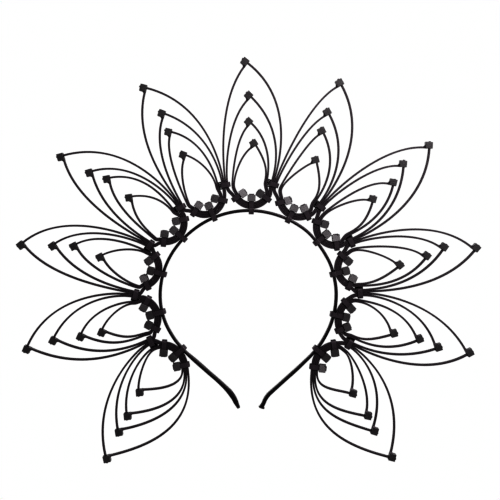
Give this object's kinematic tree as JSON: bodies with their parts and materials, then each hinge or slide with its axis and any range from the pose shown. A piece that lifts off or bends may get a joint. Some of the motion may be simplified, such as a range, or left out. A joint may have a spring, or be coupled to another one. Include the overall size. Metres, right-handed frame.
{
  "type": "halo crown",
  "caption": "Halo crown of black nylon cable ties, nested as petals round a thin black headband, lying flat on its back",
  "frame": {"origin": "centre of the headband's ring, on the plane that the crown lies on", "axes": "+X to the right of the picture, +Y up through the top petal, +Z out of the crown's front"},
  "size_m": [0.3444, 0.3013, 0.0113],
  "materials": {
    "nylon": "satin black nylon",
    "band": "satin black"
  },
  "bodies": {
    "root": {"headband": "band", "petal_01_loop_1": "nylon", "petal_01_loop_2": "nylon", "petal_01_loop_3": "nylon", "petal_01_loop_4": "nylon", "petal_02_loop_1": "nylon", "petal_02_loop_2": "nylon", "petal_02_loop_3": "nylon", "petal_02_loop_4": "nylon", "petal_03_loop_1": "nylon", "petal_03_loop_2": "nylon", "petal_03_loop_3": "nylon", "petal_03_loop_4": "nylon", "petal_04_loop_1": "nylon", "petal_04_loop_2": "nylon", "petal_04_loop_3": "nylon", "petal_04_loop_4": "nylon", "petal_05_loop_1": "nylon", "petal_05_loop_2": "nylon", "petal_05_loop_3": "nylon", "petal_05_loop_4": "nylon", "petal_06_loop_1": "nylon", "petal_06_loop_2": "nylon", "petal_06_loop_3": "nylon", "petal_06_loop_4": "nylon", "petal_07_loop_1": "nylon", "petal_07_loop_2": "nylon", "petal_07_loop_3": "nylon", "petal_07_loop_4": "nylon", "petal_08_loop_1": "nylon", "petal_08_loop_2": "nylon", "petal_08_loop_3": "nylon", "petal_08_loop_4": "nylon", "petal_09_loop_1": "nylon", "petal_09_loop_2": "nylon", "petal_09_loop_3": "nylon", "petal_09_loop_4": "nylon", "petal_10_loop_1": "nylon", "petal_10_loop_2": "nylon", "petal_10_loop_3": "nylon", "petal_10_loop_4": "nylon", "petal_11_loop_1": "nylon", "petal_11_loop_2": "nylon", "petal_11_loop_3": "nylon", "petal_11_loop_4": "nylon", "petal_01_clamps": "nylon", "petal_02_clamps": "nylon", "petal_03_clamps": "nylon", "petal_04_clamps": "nylon", "petal_05_clamps": "nylon", "petal_06_clamps": "nylon", "petal_07_clamps": "nylon", "petal_08_clamps": "nylon", "petal_09_clamps": "nylon", "petal_10_clamps": "nylon", "petal_11_clamps": "nylon", "junction_ties": "nylon"}
  },
  "joints": []
}
